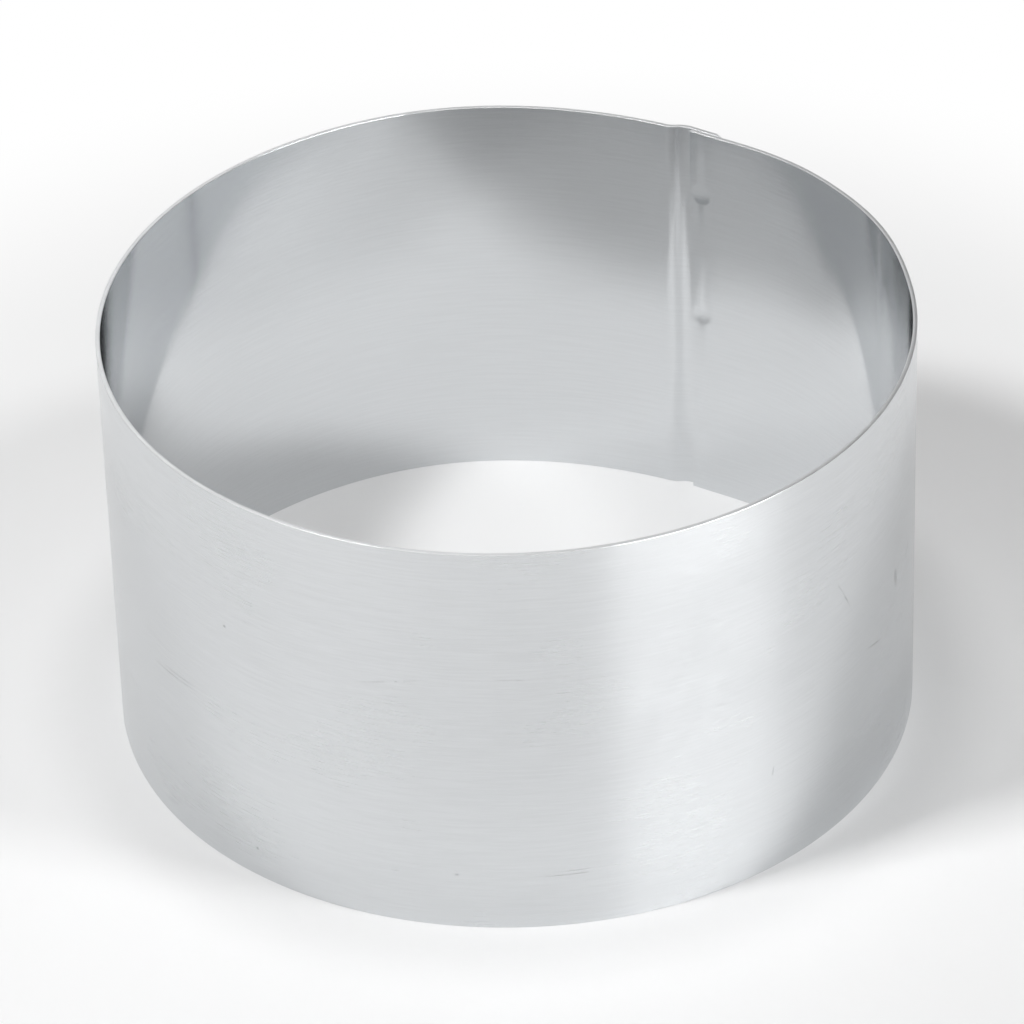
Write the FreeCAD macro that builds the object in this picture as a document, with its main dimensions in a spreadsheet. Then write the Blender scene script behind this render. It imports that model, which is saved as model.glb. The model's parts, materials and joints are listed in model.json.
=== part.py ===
import FreeCAD, Part
import math
import os
import Sketcher

# A pastry ring: one strip of stainless steel sheet, rolled into a band and closed with a joggled lap
# seam. One end of the strip is set outwards by its own thickness, laid over the other end and spot
# welded to it, so the bore stays smooth where the dough and the pusher slide.
#
# Millimetres. The ring stands on its lower rim. The origin is the centre of that rim, +Z is up, and the
# front of the ring, away from the seam, faces -Y.


# The driving sizes, each with its meaning

SIZES = [
    ("bore_diameter", 90, "clear width inside the ring, the size it is sold by"),
    ("ring_height", 50, "width of the strip"),
    ("sheet_thickness", 0.5, "thickness of the strip"),
    ("rim_bevel", 0.1, "corner that deburring takes off along both rims"),
    ("seam_azimuth", 55, "where the outer end of the strip lies, in degrees from +X about +Z"),
    ("lap_gap", 0.05, "air between the two layers around the welds"),
    ("free_end_bevel", 1, "length of the slope ground on the outer end of the strip"),
    ("joggle_length", 3, "length of the double bend along the strip"),
    ("joggle_clearance", 0.2, "from the covered end of the strip to the double bend"),
    ("weld_count", 3, "spot welds, evenly spaced up the seam"),
    ("weld_core", 2.2, "width of the core melted between the two layers"),
    ("dent_width", 2.6, "width of the round dent that an electrode leaves"),
    ("dent_depth", 0.08, "depth of that dent"),
    ("dent_edge", 0.2, "flat sheet between that dent and either end of the lap"),
]

# Relations that more than one drawing uses

BORE_RADIUS = "sizes.bore_diameter / 2"
LAP_LENGTH = "(sizes.free_end_bevel + sizes.dent_width + 2 * sizes.dent_edge)"
LAP_FACE = f"({BORE_RADIUS} + 2 * sizes.sheet_thickness + sizes.lap_gap)"
WELD_PLACE = "(sizes.free_end_bevel + sizes.dent_width / 2 + sizes.dent_edge)"
WELD_PITCH = "(sizes.ring_height / sizes.weld_count)"

# Names for the points of a line or an arc, and for a drawing's own origin and X axis

START, END, CENTRE = range(1, 4)
X_AXIS = -1
ORIGIN = (X_AXIS, START)


def make_sizes(doc):
    """The table of driving sizes: name, value, meaning."""
    sheet = doc.addObject("Spreadsheet::Sheet", "sizes")
    for row, (name, value, meaning) in enumerate(SIZES, start=1):
        sheet.set(f"A{row}", name)
        sheet.set(f"B{row}", str(value))
        sheet.set(f"C{row}", meaning)
        sheet.setAlias(f"B{row}", name)
    doc.recompute()
    return sheet


def origin_feature(body, role):
    """One of the body's own origin planes or axes."""
    return next(f for f in body.Origin.OriginFeatures if f.Role == role)


class Pen:
    """Draws lines and arcs on one plane of the body, tied down by rules and named dimensions."""

    def __init__(self, body, name, role):
        self.sketch = body.newObject("Sketcher::SketchObject", name)
        self.sketch.AttachmentSupport = [(origin_feature(body, role), "")]
        self.sketch.MapMode = "FlatFace"

    def line(self, start, end):
        points = [FreeCAD.Vector(*point, 0) for point in (start, end)]
        return self.sketch.addGeometry(Part.LineSegment(*points))

    def arc(self, centre, radius, start_angle, end_angle):
        circle = Part.Circle(FreeCAD.Vector(*centre, 0), FreeCAD.Vector(0, 0, 1), radius)
        return self.sketch.addGeometry(Part.ArcOfCircle(circle, start_angle, end_angle))

    def rule(self, kind, *what):
        return self.sketch.addConstraint(Sketcher.Constraint(kind, *what))

    def join(self, *edges):
        """Close lines drawn end to end into a loop."""
        for edge, following in zip(edges, edges[1:] + edges[:1]):
            self.rule("Coincident", edge, END, following, START)

    def bind(self, index, name, expression):
        self.sketch.renameConstraint(index, name)
        self.sketch.setExpression(f"Constraints.{name}", expression)

    def across(self, name, first, second, expression):
        """A named distance along the drawing's X axis."""
        distance = self.sketch.getPoint(*second).x - self.sketch.getPoint(*first).x
        self.bind(self.rule("DistanceX", *first, *second, distance), name, expression)

    def along(self, name, first, second, expression):
        """A named distance along the drawing's Y axis."""
        distance = self.sketch.getPoint(*second).y - self.sketch.getPoint(*first).y
        self.bind(self.rule("DistanceY", *first, *second, distance), name, expression)


def joggle_bends(sizes):
    """Where the two bends of the joggle lie: mean radius, both centres, and the angles they span.

    In the plan the seam lies at +X. The far bend leaves the rolled wall at wall_angle, measured about
    the ring's axis. The near bend runs into the outer layer of the lap, parallel to Y. The two have the
    same mean radius and meet at steep_angle, where the sheet leans the most.
    """
    bore = sizes.bore_diameter / 2
    middle = bore + sizes.sheet_thickness / 2
    near_x = middle + sizes.sheet_thickness + sizes.lap_gap
    lap = sizes.free_end_bevel + sizes.dent_width + 2 * sizes.dent_edge
    near_y = lap + sizes.joggle_clearance
    sine = (near_y + sizes.joggle_length) / bore
    cosine = math.sqrt(1 - sine * sine)
    # the two centres lie two bend radii apart, which gives a quadratic in the radius
    x = near_x - middle * cosine
    y = near_y - middle * sine
    a = 2 * cosine - 2
    b = -2 * (x * (1 + cosine) + y * sine)
    c = x * x + y * y
    radius = 2 * c / (math.sqrt(b * b - 4 * a * c) - b)
    near = (near_x - radius, near_y)
    far = ((middle + radius) * cosine, (middle + radius) * sine)
    wall_angle = math.asin(sine)
    steep_angle = math.atan2(far[1] - near[1], far[0] - near[0])
    return radius, near, far, wall_angle, steep_angle


def draw_strip(body, sizes):
    """The plan of the strip, seen from above: both faces of the sheet, from one end to the other."""
    pen = Pen(body, "strip_plan", "XY_Plane")
    radius, near, far, wall_angle, steep_angle = joggle_bends(sizes)
    half = sizes.sheet_thickness / 2
    bore = sizes.bore_diameter / 2
    wall = bore + sizes.sheet_thickness
    lap_inside = wall + sizes.lap_gap
    lap_outside = lap_inside + sizes.sheet_thickness
    covered_y = near[1] - sizes.joggle_clearance
    bevel_y = sizes.free_end_bevel

    # the rolled wall, nearly all the way round
    inner_wall = pen.arc((0, 0), bore, wall_angle, 2 * math.pi)
    outer_wall = pen.arc((0, 0), wall, wall_angle, 2 * math.pi)
    pen.rule("Coincident", inner_wall, CENTRE, *ORIGIN)
    pen.rule("Coincident", outer_wall, CENTRE, *ORIGIN)
    pen.rule("PointOnObject", inner_wall, END, X_AXIS)
    pen.rule("PointOnObject", outer_wall, END, X_AXIS)

    # the covered end of the strip, which the rolls leave straight
    covered_inside = pen.line((bore, 0), (bore, covered_y))
    covered_end = pen.line((bore, covered_y), (wall, covered_y))
    covered_outside = pen.line((wall, covered_y), (wall, 0))
    pen.rule("Coincident", inner_wall, END, covered_inside, START)
    pen.rule("Coincident", covered_inside, END, covered_end, START)
    pen.rule("Coincident", covered_end, END, covered_outside, START)
    pen.rule("Coincident", covered_outside, END, outer_wall, END)
    pen.rule("Vertical", covered_inside)
    pen.rule("Horizontal", covered_end)
    pen.rule("Vertical", covered_outside)

    # the outer layer of the lap, with its bevelled free end
    lap_outer_face = pen.line((lap_outside, near[1]), (lap_outside, bevel_y))
    free_end = pen.line((lap_outside, bevel_y), (lap_inside, 0))
    lap_inner_face = pen.line((lap_inside, 0), (lap_inside, near[1]))
    pen.rule("Coincident", lap_outer_face, END, free_end, START)
    pen.rule("Coincident", free_end, END, lap_inner_face, START)
    pen.rule("PointOnObject", lap_inner_face, START, X_AXIS)
    pen.rule("Vertical", lap_outer_face)
    pen.rule("Vertical", lap_inner_face)

    # the joggle: two opposite bends, smooth with each other, the wall and the lap
    near_inside = pen.arc(near, radius - half, 0, steep_angle)
    near_outside = pen.arc(near, radius + half, 0, steep_angle)
    far_inside = pen.arc(far, radius + half, math.pi + wall_angle, math.pi + steep_angle)
    far_outside = pen.arc(far, radius - half, math.pi + wall_angle, math.pi + steep_angle)
    pen.rule("Coincident", near_inside, CENTRE, near_outside, CENTRE)
    pen.rule("Coincident", far_inside, CENTRE, far_outside, CENTRE)
    pen.rule("Tangent", inner_wall, START, far_inside, START)
    pen.rule("Tangent", outer_wall, START, far_outside, START)
    pen.rule("Tangent", far_inside, END, near_inside, END)
    pen.rule("Tangent", far_outside, END, near_outside, END)
    pen.rule("Tangent", near_inside, START, lap_inner_face, END)
    pen.rule("Tangent", near_outside, START, lap_outer_face, START)
    pen.rule("Equal", near_inside, far_outside)

    pen.bind(pen.rule("Radius", inner_wall, bore), "bore_radius", BORE_RADIUS)
    pen.across("sheet", (covered_end, START), (covered_end, END), "sizes.sheet_thickness")
    pen.across("gap", (covered_end, END), (lap_inner_face, START), "sizes.lap_gap")
    pen.along("lap", ORIGIN, (covered_end, START), LAP_LENGTH)
    pen.along("clearance", (covered_end, START), (lap_inner_face, END), "sizes.joggle_clearance")
    pen.along("joggle", (lap_inner_face, END), (inner_wall, START), "sizes.joggle_length")
    pen.along("bevel", (lap_inner_face, START), (lap_outer_face, END), "sizes.free_end_bevel")
    return pen.sketch


def raise_wall(body, sizes):
    """The strip stands on edge, so its plan goes straight up."""
    wall = body.newObject("PartDesign::Pad", "wall")
    wall.Profile = draw_strip(body, sizes)
    wall.setExpression("Length", "sizes.ring_height")
    return wall


def bevel_rims(body, wall):
    """Deburring bevels both rims along the faces of the sheet. The sheared ends stay square."""
    tiny = 1e-6
    rims = []
    for number, edge in enumerate(wall.Shape.Edges, start=1):
        start = edge.Vertexes[0].Point
        end = edge.Vertexes[-1].Point
        level = abs(end.z - start.z) < tiny
        straight = isinstance(edge.Curve, Part.Line)
        through_the_sheet = straight and abs(end.x - start.x) > tiny
        if level and not through_the_sheet:
            rims.append(f"Edge{number}")
    bevels = body.newObject("PartDesign::Chamfer", "bevelled_rims")
    bevels.Base = (wall, rims)
    bevels.setExpression("Size", "sizes.rim_bevel")
    return bevels


def weld_pen(body, name):
    """A pen for half a section of the lowest weld, whose X axis is the line the weld is round about."""
    pen = Pen(body, name, "XZ_Plane")
    pen.sketch.setExpression("AttachmentOffset.Base.y", f"{WELD_PITCH} / 2")
    pen.sketch.setExpression("AttachmentOffset.Base.z", f"-{WELD_PLACE}")
    return pen


def draw_core(body, sizes):
    """The core of a weld: from the middle of one layer to the middle of the other."""
    pen = weld_pen(body, "core_section")
    low = (sizes.bore_diameter + sizes.sheet_thickness) / 2
    high = low + sizes.sheet_thickness + sizes.lap_gap
    reach = sizes.weld_core / 2
    axis = pen.line((low, 0), (high, 0))
    outer_face = pen.line((high, 0), (high, reach))
    side = pen.line((high, reach), (low, reach))
    inner_face = pen.line((low, reach), (low, 0))
    pen.join(axis, outer_face, side, inner_face)
    pen.rule("PointOnObject", axis, START, X_AXIS)
    pen.rule("Horizontal", axis)
    pen.rule("Vertical", outer_face)
    pen.rule("Horizontal", side)
    pen.rule("Vertical", inner_face)
    pen.across("middle", ORIGIN, (axis, START), "(sizes.bore_diameter + sizes.sheet_thickness) / 2")
    pen.across("length", (axis, START), (axis, END), "sizes.sheet_thickness + sizes.lap_gap")
    pen.along("reach", (outer_face, START), (outer_face, END), "sizes.weld_core / 2")
    return pen.sketch


def draw_dents(body, sizes):
    """The dents of a weld: a flat lens that each electrode presses into its face of the seam."""
    pen = weld_pen(body, "dent_section")
    depth = sizes.dent_depth
    reach = sizes.dent_width / 2
    radius = (reach * reach + depth * depth) / (2 * depth)
    span = math.asin(reach / radius)
    bore = sizes.bore_diameter / 2
    lap = bore + 2 * sizes.sheet_thickness + sizes.lap_gap

    outer_axis = pen.line((lap - depth, 0), (lap, 0))
    outer_face = pen.line((lap, 0), (lap, reach))
    outer_bowl = pen.arc((lap - depth + radius, 0), radius, math.pi - span, math.pi)
    pen.join(outer_axis, outer_face, outer_bowl)
    pen.across("outer_depth", (outer_axis, START), (outer_axis, END), "sizes.dent_depth")
    pen.across("outer_place", ORIGIN, (outer_axis, END), LAP_FACE)

    inner_axis = pen.line((bore, 0), (bore + depth, 0))
    inner_bowl = pen.arc((bore + depth - radius, 0), radius, 0, span)
    inner_face = pen.line((bore, reach), (bore, 0))
    pen.join(inner_axis, inner_bowl, inner_face)
    pen.across("inner_depth", (inner_axis, START), (inner_axis, END), "sizes.dent_depth")
    pen.across("inner_place", ORIGIN, (inner_axis, START), BORE_RADIUS)

    for side, axis, face, bowl in (
        ("outer", outer_axis, outer_face, outer_bowl),
        ("inner", inner_axis, inner_face, inner_bowl),
    ):
        low, high = (END, START) if side == "inner" else (START, END)
        pen.rule("PointOnObject", axis, START, X_AXIS)
        pen.rule("Horizontal", axis)
        pen.rule("Vertical", face)
        pen.rule("PointOnObject", bowl, CENTRE, X_AXIS)
        pen.along(f"{side}_reach", (face, low), (face, high), "sizes.dent_width / 2")
    return pen.sketch


def weld_seam(body, sizes):
    """The lowest spot weld, repeated up the seam at an even pitch."""
    full_turn = 360
    core = body.newObject("PartDesign::Revolution", "weld_core")
    core.Profile = draw_core(body, sizes)
    core.ReferenceAxis = (core.Profile[0], ["H_Axis"])
    core.Angle = full_turn
    body.Document.recompute()

    dents = body.newObject("PartDesign::Groove", "weld_dents")
    dents.Profile = draw_dents(body, sizes)
    dents.ReferenceAxis = (dents.Profile[0], ["H_Axis"])
    dents.Angle = full_turn
    body.Document.recompute()

    welds = body.newObject("PartDesign::LinearPattern", "weld_row")
    welds.Originals = [core, dents]
    welds.Direction = (origin_feature(body, "Z_Axis"), [""])
    welds.Mode = "Spacing"
    welds.setExpression("Offset", WELD_PITCH)
    welds.setExpression("Occurrences", "sizes.weld_count")
    body.Tip = welds
    return welds


def make_ring(doc, sizes):
    """The whole ring, in one piece, turned about its axis so that the seam lies where it should."""
    body = doc.addObject("PartDesign::Body", "ring")
    body.Label = "ring"
    wall = raise_wall(body, sizes)
    doc.recompute()
    bevel_rims(body, wall)
    weld_seam(body, sizes)
    body.setExpression("Placement.Rotation.Angle", "sizes.seam_azimuth")
    doc.recompute()
    return body


def check(doc, pieces):
    """Stop if a feature failed, or if a piece isn't one valid solid."""
    for thing in doc.Objects:
        if {"Invalid", "Error"} & set(thing.State):
            raise RuntimeError(f"{thing.Name} failed: {thing.State}")
    for piece in pieces:
        shape = piece.Shape
        if shape.isNull() or not shape.isValid() or len(shape.Solids) != 1:
            raise RuntimeError(f"{piece.Label} isn't one valid solid")


def main():
    doc = FreeCAD.newDocument("pastry_ring")
    sizes = make_sizes(doc)
    ring = make_ring(doc, sizes)
    check(doc, [ring])
    os.makedirs("parts", exist_ok=True)
    ring.Shape.exportStep(os.path.join("parts", ring.Label + ".step"))


main()
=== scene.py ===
# %% [markdown]
# # A pastry ring, from the strip to the studio
#
# A pastry ring is one strip of stainless steel sheet. It is rolled into a band, one end is set outwards
# by its own thickness, and that end is laid over the other and spot welded. This lesson makes the same
# strip in Blender, in the same order, then gives it its rolled grain and puts it in a plain studio.
#
# Everything is in the frame of the construction model: metres, +Z up, the centre of the lower rim at
# the origin. Sizes that the model knows are read from it. Those it doesn't know are written here once.

import json
import math

import bmesh
import bpy
from mathutils import Matrix, Vector


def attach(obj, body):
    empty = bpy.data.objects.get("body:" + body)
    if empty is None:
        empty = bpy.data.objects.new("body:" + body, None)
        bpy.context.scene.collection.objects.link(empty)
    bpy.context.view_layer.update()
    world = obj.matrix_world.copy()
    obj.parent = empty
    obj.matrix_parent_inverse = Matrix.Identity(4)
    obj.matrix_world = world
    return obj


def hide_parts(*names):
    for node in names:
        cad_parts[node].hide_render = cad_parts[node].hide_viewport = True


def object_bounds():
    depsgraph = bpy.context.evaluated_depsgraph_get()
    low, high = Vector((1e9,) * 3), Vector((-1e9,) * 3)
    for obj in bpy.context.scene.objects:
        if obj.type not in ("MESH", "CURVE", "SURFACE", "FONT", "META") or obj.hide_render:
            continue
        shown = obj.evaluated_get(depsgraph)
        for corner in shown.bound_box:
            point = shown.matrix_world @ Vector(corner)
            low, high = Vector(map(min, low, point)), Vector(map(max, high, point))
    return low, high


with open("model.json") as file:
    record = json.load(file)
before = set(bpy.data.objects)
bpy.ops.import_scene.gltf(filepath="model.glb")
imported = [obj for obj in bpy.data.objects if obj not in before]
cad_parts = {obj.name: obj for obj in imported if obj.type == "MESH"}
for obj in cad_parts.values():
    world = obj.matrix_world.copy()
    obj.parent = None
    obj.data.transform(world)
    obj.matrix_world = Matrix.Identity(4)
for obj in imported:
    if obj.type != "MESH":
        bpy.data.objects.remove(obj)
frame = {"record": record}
cad_low, cad_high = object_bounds()
print("construction model, lowest and highest corner:", cad_low[:], cad_high[:])

# %% [markdown]
# ## The sizes of the strip
#
# The bore is the size a ring is sold by, so the model states it as a mount. The height is that of its
# box. The thickness, the seam and the welds are too small to read off a box, so they are written as a
# maker would say them, in millimetres.

# %% Sizes of the strip
MM = 0.001

bore = next(mount for mount in frame["record"]["mounts"] if mount["name"] == "bore")
BORE_RADIUS = bore["dims"]["r_mm"] * MM
HEIGHT = cad_high.z - cad_low.z
SHEET = 0.5 * MM
RIM_ROUND = 0.05 * MM

LAP = 4.0 * MM
LAP_GAP = 0.05 * MM
FREE_END_BEVEL = 1.0 * MM
JOGGLE_CLEARANCE = 0.2 * MM
JOGGLE = 3.0 * MM
SEAM_AZIMUTH = math.radians(55)

WELDS = 3
WELD_PLACE = 2.5 * MM
DENT_RADIUS = 1.3 * MM
DENT_DEPTH = 0.08 * MM

WALL_RADIUS = BORE_RADIUS + SHEET
MIDDLE = BORE_RADIUS + SHEET / 2
LAP_MIDDLE = MIDDLE + SHEET + LAP_GAP
Z_AXIS = Vector((0, 0, 1))
print(f"strip {SHEET / MM:.2f} mm thick and {HEIGHT / MM:.1f} mm wide, bore radius {BORE_RADIUS / MM:.1f} mm")

# %% [markdown]
# ## Where the two bends of the joggle lie
#
# The joggle is a flat S in the plan of the strip: a bend outwards, and a bend back. Both have the same
# radius, they are smooth with each other, and they have to meet the round wall on one side and the
# straight lap on the other. That leaves one radius, which a quadratic gives. Seen from above, the seam
# lies at +X for now, and the whole ring is turned to its place at the end.

# %% The bends of the joggle
def joggle_bends():
    """The bends' radius, the centre of each, and the two angles that bound them."""
    near_y = LAP + JOGGLE_CLEARANCE
    sine = (near_y + JOGGLE) / BORE_RADIUS
    cosine = math.sqrt(1 - sine * sine)
    x = LAP_MIDDLE - MIDDLE * cosine
    y = near_y - MIDDLE * sine
    a = 2 * cosine - 2
    b = -2 * (x * (1 + cosine) + y * sine)
    c = x * x + y * y
    radius = 2 * c / (math.sqrt(b * b - 4 * a * c) - b)
    near = Vector((LAP_MIDDLE - radius, near_y, 0))
    far = Vector(((MIDDLE + radius) * cosine, (MIDDLE + radius) * sine, 0))
    lean = math.atan2(far.y - near.y, far.x - near.x)
    return radius, near, far, math.asin(sine), lean


BEND_RADIUS, NEAR_BEND, FAR_BEND, WALL_START, STEEPEST = joggle_bends()
print(f"joggle: two bends of {BEND_RADIUS / MM:.2f} mm, leaning {math.degrees(STEEPEST):.1f} degrees at most")

# %% [markdown]
# ## The section of the sheet
#
# The covered end of the strip is a rectangle, half a millimetre wide and as tall as the ring. Its
# corners are rounded, because deburring takes the sharpness off both rims. A grid of one face makes
# the rectangle, and a bevel of its corners rounds it: all the rims are then smooth wherever the
# section goes.

# %% Draw the section
ROUND_STEPS = 4


def draw_section(bm):
    """The section at the covered end. Returns the edges round it."""
    stand_up = Matrix.Rotation(math.radians(90), 4, "X")
    place = Matrix.Translation((MIDDLE, LAP, HEIGHT / 2))
    bmesh.ops.create_grid(
        bm, x_segments=1, y_segments=1, size=0.5,
        matrix=place @ stand_up @ Matrix.Diagonal((SHEET, HEIGHT, 1, 1)),
    )
    bmesh.ops.bevel(
        bm, geom=bm.verts[:], offset=RIM_ROUND, segments=ROUND_STEPS, profile=0.5,
        affect="VERTICES", material=-1,
    )
    return bm.edges[:]


strip = bmesh.new()
section = draw_section(strip)
print(f"section: {len(strip.faces)} face with {len(section)} edges")

# %% [markdown]
# ## Rolling the strip
#
# The section now travels along the strip: straight at the covered end, once round the bore, through
# the two bends of the joggle, and straight again over the lap. A spin does all of it. With an angle it
# rolls the section about an upright axis, and with a distance and no angle it draws it out straight.
# Every stretch starts from the edges that the last one ended with, so the strip stays one surface.

# %% Roll the strip
def roll(bm, edges, steps, angle=0.0, centre=(0, 0, 0), way=(0, 0, 0)):
    """Carry the section on by one stretch of the strip. Returns the edges it ends with."""
    ends = {vert for edge in edges for vert in edge.verts}
    made = bmesh.ops.spin(
        bm, geom=list(ends) + edges, cent=centre, axis=Z_AXIS,
        dvec=Vector(way) / steps, angle=angle, steps=steps, use_merge=False,
    )
    return [item for item in made["geom_last"] if isinstance(item, bmesh.types.BMEdge)]


FINE_STEPS = 20
WALL_STEPS = 480
section = roll(strip, section, FINE_STEPS, way=(0, -LAP, 0))
section = roll(strip, section, WALL_STEPS, angle=-(2 * math.pi - WALL_START))
section = roll(strip, section, FINE_STEPS, angle=STEEPEST - WALL_START, centre=FAR_BEND)
section = roll(strip, section, FINE_STEPS, angle=-STEEPEST, centre=NEAR_BEND)
section = roll(strip, section, FINE_STEPS, way=(0, -NEAR_BEND.y, 0))
end_x = sum(edge.verts[0].co.x for edge in section) / len(section)
print(f"rolled: {len(strip.faces)} faces, outer layer {(end_x - MIDDLE) / MM:.2f} mm outside the inner one")

# %% [markdown]
# ## Grinding the free end
#
# The outer end of the strip is ground to a slope, so that a hand or a cloth doesn't catch on it. A
# slanting cut through the last stretch of the lap does what the grinder does, and the face that closes
# the cut is the ground face.

# %% Grind the free end
TINY = 0.001 * MM


def near_seam(face, low_radius, high_radius):
    """Whether a face belongs to the straight part of one layer of the lap."""
    return all(
        low_radius - TINY < vert.co.x < high_radius + TINY and -TINY < vert.co.y < NEAR_BEND.y + TINY
        for vert in face.verts
    )


def with_edges(faces):
    """Faces with their edges and corners, as the cutting operators want them."""
    edges = {edge for face in faces for edge in face.edges}
    verts = {vert for face in faces for vert in face.verts}
    return list(faces) + list(edges) + list(verts)


def outer_layer(bm):
    inside = WALL_RADIUS + LAP_GAP
    return [face for face in bm.faces if near_seam(face, inside, inside + SHEET)]


slope = Vector((FREE_END_BEVEL, -SHEET, 0)).normalized()
bmesh.ops.bisect_plane(
    strip, geom=with_edges(outer_layer(strip)), dist=TINY / 10,
    plane_co=(WALL_RADIUS + LAP_GAP, 0, 0), plane_no=slope, clear_outer=True,
)
ground = bmesh.ops.holes_fill(strip, edges=[edge for edge in strip.edges if edge.is_boundary])
open_edges = sum(not edge.is_manifold for edge in strip.edges)
print(f"ground: {len(ground['faces'])} new face, {open_edges} open edges left")

# %% [markdown]
# ## Shading: smooth walls, crisp rims
#
# A wall that is one face high takes its shading from its corners. If those corners also belonged to
# the small round of the rim, the whole wall would look bulged. So the lines where a wall ends and the
# round begins are marked sharp, and so are the ends of the strip. Everything else is smooth.

# %% Mark the sharp lines
SHARP = math.radians(40)


def rise(face):
    """How tall a face is."""
    heights = [vert.co.z for vert in face.verts]
    return max(heights) - min(heights)


def mark_sharp(bm):
    bmesh.ops.recalc_face_normals(bm, faces=bm.faces[:])
    for face in bm.faces:
        face.smooth = True
    for edge in bm.edges:
        tall = [rise(face) > HEIGHT / 2 for face in edge.link_faces]
        edge.smooth = edge.calc_face_angle(0) < SHARP and all(tall) == any(tall)


mark_sharp(strip)
print("sharp lines:", sum(not edge.smooth for edge in strip.edges), "edges")

# %% [markdown]
# ## The spot welds
#
# Each weld leaves a shallow round dent in both faces of the seam, where the electrodes pressed. The
# sheet there needs corners to press down, and the long smooth walls elsewhere don't. So rows are cut
# only across the two layers of the lap, and only at the height of the welds.

# %% Press the welds
DENT_ROWS = 16


def seam_layers(bm):
    inner = [face for face in bm.faces if near_seam(face, BORE_RADIUS, WALL_RADIUS)]
    return inner + outer_layer(bm)


def cut_rows(bm, middle):
    for row in range(DENT_ROWS + 1):
        height = middle + DENT_RADIUS * (2 * row / DENT_ROWS - 1)
        bmesh.ops.bisect_plane(
            bm, geom=with_edges(seam_layers(bm)), dist=TINY / 10,
            plane_co=(0, 0, height), plane_no=Z_AXIS,
        )


def press(bm, middle, face_radius, push):
    """Push one face of the seam in, deepest in the middle of the weld."""
    moved = 0
    for vert in bm.verts:
        off = math.hypot(vert.co.y - WELD_PLACE, vert.co.z - middle) / DENT_RADIUS
        if abs(vert.co.x - face_radius) < TINY and off < 1:
            vert.co.x += push * (1 - off * off)
            moved += 1
    return moved


pressed = 0
for weld in range(WELDS):
    middle = HEIGHT * (weld + 0.5) / WELDS
    cut_rows(strip, middle)
    pressed += press(strip, middle, BORE_RADIUS, DENT_DEPTH)
    pressed += press(strip, middle, WALL_RADIUS + LAP_GAP + SHEET, -DENT_DEPTH)
print(f"welds: {WELDS} pairs of dents, {pressed} corners pressed, {len(strip.faces)} faces in all")

# %% [markdown]
# ## A map along the sheet
#
# The finish of a sheet runs along the strip, through the bends and into the lap. A UV map carries it:
# one unit is one millimetre, U along the strip and V up it. The two layers of the lap are the two ends
# of the strip, so the covered end is one whole turn further on than the layer over it.

# %% Unroll the strip into a map
def distance_along(point):
    """How far along the strip a point lies, from its free end."""
    turn = math.atan2(point.y, point.x) % (2 * math.pi)
    in_lap = turn < LAP / BORE_RADIUS and point.xy.length < WALL_RADIUS + LAP_GAP / 2
    return (turn + 2 * math.pi * in_lap) * WALL_RADIUS


def unroll(bm):
    """Lay the map on the strip. Returns how long the strip is, in millimetres."""
    layer = bm.loops.layers.uv.new("sheet")
    for face in bm.faces:
        for loop in face.loops:
            point = loop.vert.co
            loop[layer].uv = (distance_along(point) / MM, point.z / MM)
    return max(loop[layer].uv.x for face in bm.faces for loop in face.loops)


print(f"the strip is {unroll(strip):.0f} mm long, laps and all")

# %% [markdown]
# ## Out of round
#
# Rolls can't bend the last stretch of a strip as far as the rest, so a rolled ring is always a little
# flat on both sides of its seam. It is a gentle dip, shorter on one side, and the sheet that it takes
# up stands out just beside it. The dip only goes inwards of the true circle, so the ring still fits
# its construction model.

# %% Flatten the seam
DIP = 1.3 * MM
DIP_AT = math.radians(7)
DIP_REACH = (math.radians(27), math.radians(48))
BULGE = 0.3 * MM
BULGE_AT = math.radians(-33)
BULGE_REACH = math.radians(17)


def swell(turn, middle, reach):
    """1 at the middle, 0 beyond the reach, and smooth between."""
    share = min(abs(turn - middle) / reach, 1)
    return math.cos(share * math.pi / 2) ** 2


def out_of_round(bm):
    for vert in bm.verts:
        turn = math.atan2(vert.co.y, vert.co.x)
        reach = DIP_REACH[turn > DIP_AT]
        move = BULGE * swell(turn, BULGE_AT, BULGE_REACH) - DIP * swell(turn, DIP_AT, reach)
        vert.co.xy += vert.co.xy.normalized() * move


out_of_round(strip)
bmesh.ops.rotate(strip, verts=strip.verts[:], cent=(0, 0, 0), matrix=Matrix.Rotation(SEAM_AZIMUTH, 3, "Z"))
print(f"the seam is {DIP / MM:.1f} mm flat, and now lies at {math.degrees(SEAM_AZIMUTH):.0f} degrees")

# %% [markdown]
# ## Helpers for materials
#
# A material is a small network, and most of its lines only place a node and plug something in. A few
# helpers do that, so that the recipes below read like recipes. The last two make and place a node
# group: a piece of network with named inputs and outputs, which any material can use with values of
# its own.

# %% Helpers for nodes
def plug(tree, made, inputs):
    """Give each named input of a node a value, or a link from another node's output."""
    for name, value in dict(inputs).items():
        if isinstance(value, bpy.types.NodeSocket):
            tree.links.new(value, made.inputs[name])
        else:
            made.inputs[name].default_value = value


def node(tree, kind, inputs=(), **settings):
    """Place a node, set it up and plug in its inputs."""
    made = tree.nodes.new("ShaderNode" + kind)
    for name, value in settings.items():
        setattr(made, name, value)
    plug(tree, made, inputs)
    return made


def maths(tree, operation, *values, clamp=False):
    """One sum on numbers or sockets."""
    made = node(tree, "Math", dict(enumerate(values)), operation=operation, use_clamp=clamp)
    return made.outputs[0]


def ramp(tree, value, low, high, bottom=0.0, top=1.0):
    """Stretch a value from low..high to bottom..top, with soft ends."""
    made = node(
        tree, "MapRange",
        {"Value": value, "From Min": low, "From Max": high, "To Min": bottom, "To Max": top},
        interpolation_type="SMOOTHSTEP",
    )
    return made.outputs["Result"]


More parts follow.
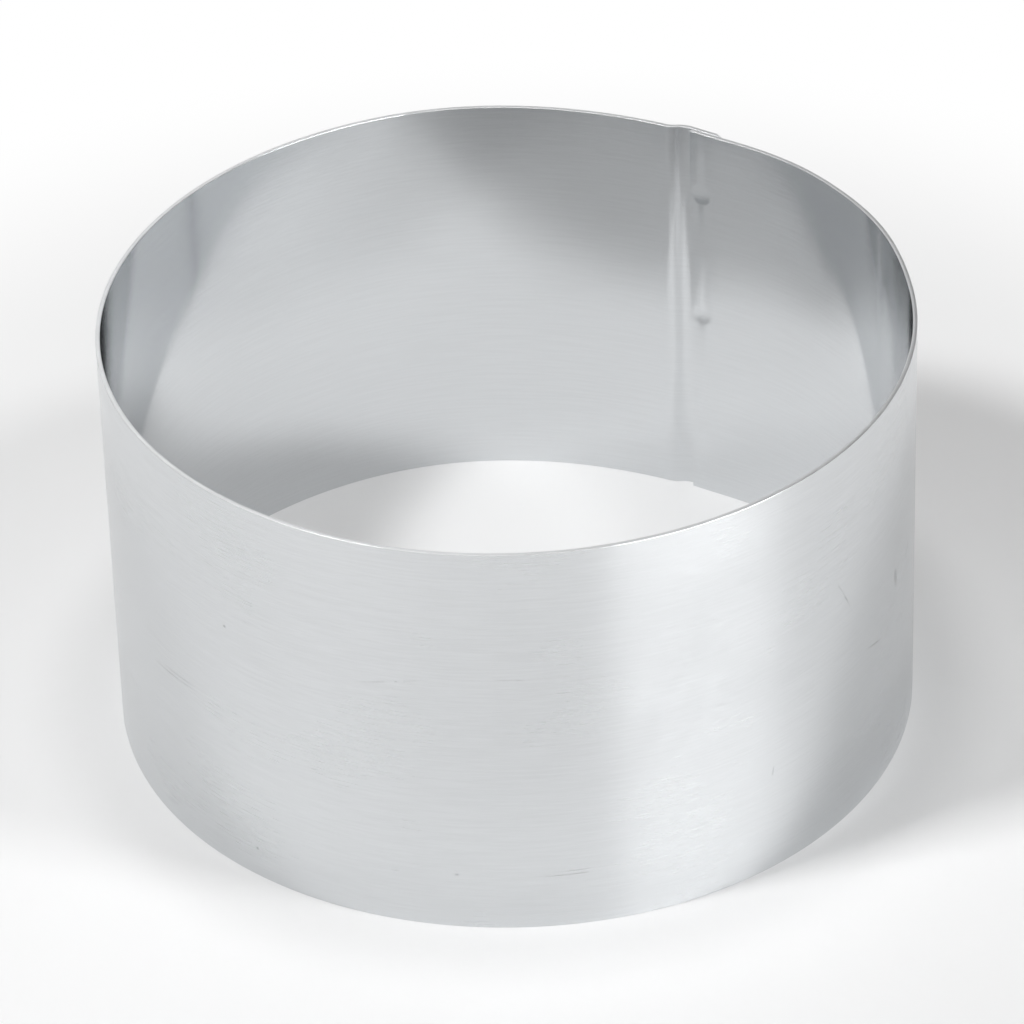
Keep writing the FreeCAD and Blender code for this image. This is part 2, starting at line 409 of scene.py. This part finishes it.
def new_group(name, inputs, outputs):
    """A node group with these sockets. Returns the tree, its inputs and its outputs."""
    tree = bpy.data.node_groups.new(name, "ShaderNodeTree")
    for socket, kind, default in inputs:
        made = tree.interface.new_socket(socket, in_out="INPUT", socket_type="NodeSocket" + kind)
        made.default_value = default
    for socket, kind in outputs:
        tree.interface.new_socket(socket, in_out="OUTPUT", socket_type="NodeSocket" + kind)
    return tree, tree.nodes.new("NodeGroupInput").outputs, tree.nodes.new("NodeGroupOutput").inputs


def use_group(tree, group, inputs=()):
    """Place a node group in a material, with values of its own."""
    return node(tree, "Group", inputs, node_tree=group).outputs


print("helpers ready")

# %% [markdown]
# ## The rolled grain
#
# Sheet is finished in the mill by rollers, which leave fine lines along the strip. Light sees them as
# short streaks, long one way and very thin the other. Stretching a noise does that: the two lengths
# say how long and how fine a streak is, in millimetres.
#
# The finest lines are too thin to see one by one, and only change from point to point how rough the
# sheet is. Coarser streaks can just be made out, where they break up the edges of reflections, and
# soft clouds keep the sheet from looking like plastic.

# %% Node group: rolled grain
def streaks(tree, sheet, length, pitch, detail):
    """Noise drawn out along the strip: how long and how far apart, in mm, and how much finer detail."""
    size = node(tree, "CombineXYZ", {"X": length, "Y": pitch, "Z": 1.0})
    stretched = node(tree, "VectorMath", {0: sheet, 1: size.outputs[0]}, operation="DIVIDE")
    noise = node(
        tree, "TexNoise", {"Vector": stretched.outputs[0], "Scale": 1.0, "Detail": detail},
        noise_dimensions="2D",
    )
    return noise.outputs["Fac"]


def rolled_grain():
    tree, given, result = new_group(
        "rolled grain",
        [("Sheet", "Vector", (0, 0, 0)), ("Length", "Float", 8.0), ("Pitch", "Float", 0.25)],
        [("Haze", "Float"), ("Streaks", "Float"), ("Clouds", "Float")],
    )
    finest = streaks(tree, given["Sheet"], length=3.0, pitch=0.04, detail=2.0)
    coarse = streaks(tree, given["Sheet"], given["Length"], given["Pitch"], detail=4.0)
    clouds = streaks(tree, given["Sheet"], length=18.0, pitch=12.0, detail=3.0)
    tree.links.new(ramp(tree, finest, 0.4, 0.6), result["Haze"])
    tree.links.new(ramp(tree, coarse, 0.2, 0.8), result["Streaks"])
    tree.links.new(ramp(tree, clouds, 0.3, 0.7), result["Clouds"])
    return tree


GRAIN = rolled_grain()
print("made", GRAIN.name, [item.name for item in GRAIN.interface.items_tree])

# %% [markdown]
# ## Marks of use
#
# Stacking and washing leave faint marks on the outside of a ring: pairs of long scratches along the
# strip, short ones across it, and a few specks. They could be painted on an image, but a mark is only
# a thin ellipse on the map of the sheet. A list of places in millimetres, along the strip and up it,
# stays sharp at any size. A noise breaks up the long ones, as a real scratch skips.

# %% Node group: marks of use
# each mark: along, up, length and width in millimetres, lean in degrees, depth of shade
SCRATCHES = (
    (126, 20.8, 12, 0.25, 4, 0.4),
    (127, 21.4, 9, 0.25, 4, 0.3),
    (157, 32.5, 10, 0.25, 12, 0.3),
    (170, 33.7, 4, 0.25, -2, 0.3),
    (176, 7.0, 10, 0.20, 1, 0.4),
    (177, 7.5, 8, 0.20, 1, 0.3),
    (212, 31.0, 6, 0.30, -61, 0.4),
    (219, 20.0, 5, 0.40, -14, 0.4),
)
SPECKS = (
    (136.0, 32.8, 0.6, 0.5, 0, 0.5),
    (139.0, 3.8, 0.6, 0.5, 0, 0.4),
    (163.5, 7.2, 0.8, 0.6, 0, 0.25),
    (200.5, 13.3, 1.8, 0.4, 80, 0.3),
    (225.0, 25.0, 3.5, 1.4, -77, 0.4),
)


MARK_CORE = 0.2


def mark(tree, sheet, along, up, length, width, lean, depth):
    """The shade of one mark: deepest in its core, a share of its size, and nothing at its edge."""
    place = node(
        tree, "Mapping",
        {
            "Vector": sheet, "Location": (along, up, 0), "Rotation": (0, 0, math.radians(lean)),
            "Scale": (length / 2, width / 2, 1),
        },
        vector_type="TEXTURE",
    )
    off = node(tree, "VectorMath", {0: place.outputs[0]}, operation="LENGTH").outputs["Value"]
    return ramp(tree, off, 1.0, MARK_CORE, 0.0, depth)


def deepest(tree, sheet, marks):
    """The deepest shade of all these marks together."""
    shade = 0.0
    for values in marks:
        shade = maths(tree, "MAXIMUM", mark(tree, sheet, *values), shade)
    return shade


def marks_of_use():
    tree, given, result = new_group(
        "marks of use", [("Sheet", "Vector", (0, 0, 0))], [("Shade", "Float")]
    )
    skips = ramp(tree, streaks(tree, given["Sheet"], length=2.0, pitch=2.0, detail=2.0), 0.25, 0.55)
    scratched = maths(tree, "MULTIPLY", deepest(tree, given["Sheet"], SCRATCHES), skips)
    shade = maths(tree, "MAXIMUM", scratched, deepest(tree, given["Sheet"], SPECKS))
    tree.links.new(shade, result["Shade"])
    return tree


MARKS = marks_of_use()
print("made", MARKS.name, "with", len(SCRATCHES), "scratches and", len(SPECKS), "specks")

# %% [markdown]
# ## The steel
#
# Stainless steel is a metal: its colour is the colour of its reflection, a slightly cool grey. The
# grain blurs the reflection up and down the wall and keeps it clearer along it, which is what
# anisotropy means. The UV map tells the shader which way the grain runs, and a quarter of a turn lays
# the blur across it.
#
# The three faces of the strip have the same recipe with other values. The outside keeps the mill's
# satin and the marks of use. The inside, which has to let go of the dough, is polished brighter. The
# rims are freshly deburred, so they are lighter and less shiny.

# %% Materials
QUARTER_TURN = 0.25
STEEL_TINT = (0.70, 0.715, 0.728)
BARE_TINT = (0.80, 0.81, 0.82)
STREAK_ROUGH = 0.01
CLOUD_ROUGH = 0.02
STREAK_SHADE = 0.03
STREAK_DEPTH = 0.0006 * MM
MARK_ROUGH = 0.1
MARK_SHADE = 0.6


def steel_material(name, tint, clear, haze, anisotropy, marked=False):
    """Steel whose roughness wavers between clear and haze, with or without the marks of use."""
    material = bpy.data.materials.new(name)
    material.use_nodes = True
    tree = material.node_tree
    shader = tree.nodes["Principled BSDF"]
    shader.inputs["Metallic"].default_value = 1.0
    shader.inputs["Anisotropic"].default_value = anisotropy
    shader.inputs["Anisotropic Rotation"].default_value = QUARTER_TURN

    sheet = node(tree, "UVMap", uv_map="sheet").outputs["UV"]
    grain = use_group(tree, GRAIN, {"Sheet": sheet, "Length": 8.0, "Pitch": 0.25})
    rough = ramp(tree, grain["Haze"], 0.0, 1.0, clear, haze)
    rough = maths(tree, "MULTIPLY_ADD", grain["Streaks"], STREAK_ROUGH, rough)
    rough = maths(tree, "MULTIPLY_ADD", grain["Clouds"], CLOUD_ROUGH, rough)
    shade = ramp(tree, grain["Streaks"], 0.0, 1.0, 1.0, 1.0 - STREAK_SHADE)
    if marked:
        marks = use_group(tree, MARKS, {"Sheet": sheet})["Shade"]
        rough = maths(tree, "MULTIPLY_ADD", marks, MARK_ROUGH, rough)
        shade = maths(tree, "MULTIPLY_ADD", marks, -MARK_SHADE, shade)
    tree.links.new(rough, shader.inputs["Roughness"])
    colour = node(tree, "VectorMath", {0: tint, "Scale": shade}, operation="SCALE")
    tree.links.new(colour.outputs[0], shader.inputs["Base Color"])

    bump = node(tree, "Bump", {"Height": grain["Streaks"], "Distance": STREAK_DEPTH})
    tree.links.new(bump.outputs["Normal"], shader.inputs["Normal"])
    tangent = node(tree, "Tangent", direction_type="UV_MAP", uv_map="sheet")
    tree.links.new(tangent.outputs["Tangent"], shader.inputs["Tangent"])
    return material


outer_steel = steel_material(
    "rolled_steel_face", STEEL_TINT, clear=0.21, haze=0.25, anisotropy=0.85, marked=True
)
inner_steel = steel_material("polished_steel_face", STEEL_TINT, clear=0.1, haze=0.12, anisotropy=0.85)
rim_steel = steel_material("deburred_steel_rim", BARE_TINT, clear=0.38, haze=0.42, anisotropy=0.3)
print("materials:", outer_steel.name, inner_steel.name, rim_steel.name)

# %% [markdown]
# ## The finished ring
#
# The strip becomes one object at the origin, with its place in its mesh. A face that looks up or down
# belongs to a rim. Of the others, those that look towards the axis are the inside, and the rest are
# the outside. The piece stands for the plain ring of the construction model, and rides on its body.

# %% Make the ring
UPRIGHT = 0.2
OUTER_FACE, INNER_FACE, RIM = range(3)


def finish_of(face):
    """Which of the three finishes a face of the strip has."""
    if abs(face.normal.z) > UPRIGHT:
        return RIM
    return INNER_FACE if face.normal.dot(face.calc_center_median()) < 0 else OUTER_FACE


def make_ring(bm):
    for face in bm.faces:
        face.material_index = finish_of(face)
    mesh = bpy.data.meshes.new("pastry_ring")
    bm.to_mesh(mesh)
    for steel in (outer_steel, inner_steel, rim_steel):
        mesh.materials.append(steel)
    piece = bpy.data.objects.new("pastry_ring", mesh)
    bpy.context.scene.collection.objects.link(piece)
    return piece


strip.normal_update()
volume = strip.calc_volume(signed=True)
ring = make_ring(strip)
strip.free()
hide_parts("ring")
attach(ring, "root")
print(f"ring: {len(ring.data.polygons)} faces, {volume / MM ** 3:.0f} cubic millimetres of steel")

# %% [markdown]
# ## The camera
#
# The photograph looks down at the ring from the front with a long lens. Its place follows from the
# ellipses of the two rims: how flat they are gives the height of the camera, how much smaller the far
# side is gives the distance, and the upright sides give the small tilt.

# %% Camera
CAMERA_DISTANCE = 584.1 * MM
CAMERA_HEIGHT = 433.8 * MM
LOOK_DOWN = math.radians(35.077)
TILT = math.radians(-1.752)
SENSOR = 36.0
LENS = 221.7

camera = bpy.data.objects.new("camera", bpy.data.cameras.new("camera"))
bpy.context.scene.collection.objects.link(camera)
camera.data.sensor_width = SENSOR
camera.data.lens = LENS
camera.matrix_world = (
    Matrix.Translation((0, -CAMERA_DISTANCE, CAMERA_HEIGHT))
    @ Matrix.Rotation(math.radians(90) - LOOK_DOWN, 4, "X")
    @ Matrix.Rotation(TILT, 4, "Z")
)
bpy.context.scene.camera = camera
print(f"camera: {LENS:.0f} mm lens, {math.degrees(LOOK_DOWN):.1f} degrees down")

# %% [markdown]
# ## Floor and surroundings
#
# The ring stands on plain white in a studio with pale walls and a dim ceiling. Polished steel shows
# whatever is around it: the floor when it is seen from above, and the walls when it is seen from the
# side. Close to the ring the floor only has the light that falls on it, so the shadows there are real,
# and the steel mirrors them. Further off it fades to a white of its own, to the eye and to the steel
# alike, as a lit backdrop does. Light Path tells such looks from the light that the floor gives off,
# so the white adds nothing to the light on the ring.

# %% Floor and world
FLOOR_WHITE = (0.95, 0.95, 0.95, 1.0)
FLOOR_REACH = 3.0
FADE_FROM = 80 * MM
FADE_TO = 140 * MM
STUDIO_WALL = 0.5
CEILING = 0.1
WALL_UP_TO = 0.2
CEILING_FROM = 0.6


def own_white(tree):
    """How much the floor shows a white of its own: only where it is looked at, and only far off."""
    path = node(tree, "LightPath").outputs
    seen = maths(tree, "ADD", path["Is Camera Ray"], path["Is Glossy Ray"])
    seen = maths(tree, "ADD", seen, path["Is Transmission Ray"], clamp=True)
    place = node(tree, "TexCoord").outputs["Object"]
    distance = node(tree, "VectorMath", {0: place}, operation="LENGTH").outputs["Value"]
    share = ramp(tree, distance, FADE_FROM, FADE_TO)
    return maths(tree, "MULTIPLY", seen, share)


def make_floor():
    bm = bmesh.new()
    bmesh.ops.create_grid(bm, x_segments=1, y_segments=1, size=FLOOR_REACH)
    mesh = bpy.data.meshes.new("floor")
    bm.to_mesh(mesh)
    bm.free()
    piece = bpy.data.objects.new("floor", mesh)
    bpy.context.scene.collection.objects.link(piece)
    material = bpy.data.materials.new("white_table")
    material.use_nodes = True
    tree = material.node_tree
    tree.nodes.clear()
    matt = node(tree, "BsdfDiffuse", {"Color": FLOOR_WHITE})
    white = node(tree, "Emission", {"Color": (1, 1, 1, 1), "Strength": 1.0})
    both = node(tree, "MixShader", {0: own_white(tree), 1: matt.outputs[0], 2: white.outputs[0]})
    node(tree, "OutputMaterial", {"Surface": both.outputs[0]})
    mesh.materials.append(material)


def make_world():
    world = bpy.data.worlds.new("studio")
    world.use_nodes = True
    tree = world.node_tree
    tree.nodes.clear()
    direction = node(tree, "TexCoord").outputs["Generated"]
    up = node(tree, "SeparateXYZ", {0: direction}).outputs["Z"]
    strength = ramp(tree, up, WALL_UP_TO, CEILING_FROM, STUDIO_WALL, CEILING)
    light = node(tree, "Background", {"Color": (1, 1, 1, 1), "Strength": strength})
    node(tree, "OutputWorld", {"Surface": light.outputs[0]})
    bpy.context.scene.world = world


make_floor()
make_world()
bpy.context.scene.view_settings.view_transform = "Standard"
print("white floor, pale walls and a ceiling at", CEILING)

# %% [markdown]
# ## Lamps
#
# Light adds up, so each lamp has a task of its own. The key stands high at the left. It throws the
# shadow back to the right, and the wall that mirrors the shadow darkens towards that edge. A weaker
# fill opposite does the same, less, on the left. A small lamp straight above lights the inside, and
# leaves a thin shadow round the foot of the wall. The wide one at the right is low, and the grain of
# the steel draws it out into the broad bright band up the front. A flap keeps its light off the floor,
# where it would fill the shadow, and Blender does that by hiding the lamp from diffuse rays. The last
# stands behind, where the flat rims mirror it, and lifts them off the wall.
#
# The lamps don't show themselves to the camera, which may have to look past one of them when it moves
# round the ring.

# %% Lamps
def softbox(name, place, width, height, watts, flap=False):
    """A rectangular lamp at a place, in metres. A flap keeps its light off the floor."""
    light = bpy.data.lights.new(name, "AREA")
    light.shape = "RECTANGLE"
    light.size = width
    light.size_y = height
    light.energy = watts
    lamp = bpy.data.objects.new(name, light)
    bpy.context.scene.collection.objects.link(lamp)
    lamp.location = place
    aim = Vector((0, 0, HEIGHT / 2)) - Vector(place)
    lamp.rotation_euler = aim.to_track_quat("-Z", "Y").to_euler()
    lamp.visible_camera = False
    lamp.visible_diffuse = not flap


softbox("key_softbox", (-0.4, -0.2, 0.65), 0.12, 0.12, 2.95)
softbox("fill_softbox", (0.4, -0.2, 0.65), 0.12, 0.12, 1.25)
softbox("top_softbox", (0, 0, 0.35), 0.05, 0.05, 0.18)
softbox("right_softbox", (0.41, -0.39, 0.08), 0.46, 0.14, 2.95, flap=True)
softbox("back_softbox", (-0.17, 0.6, 0.55), 0.45, 0.2, 0.6)
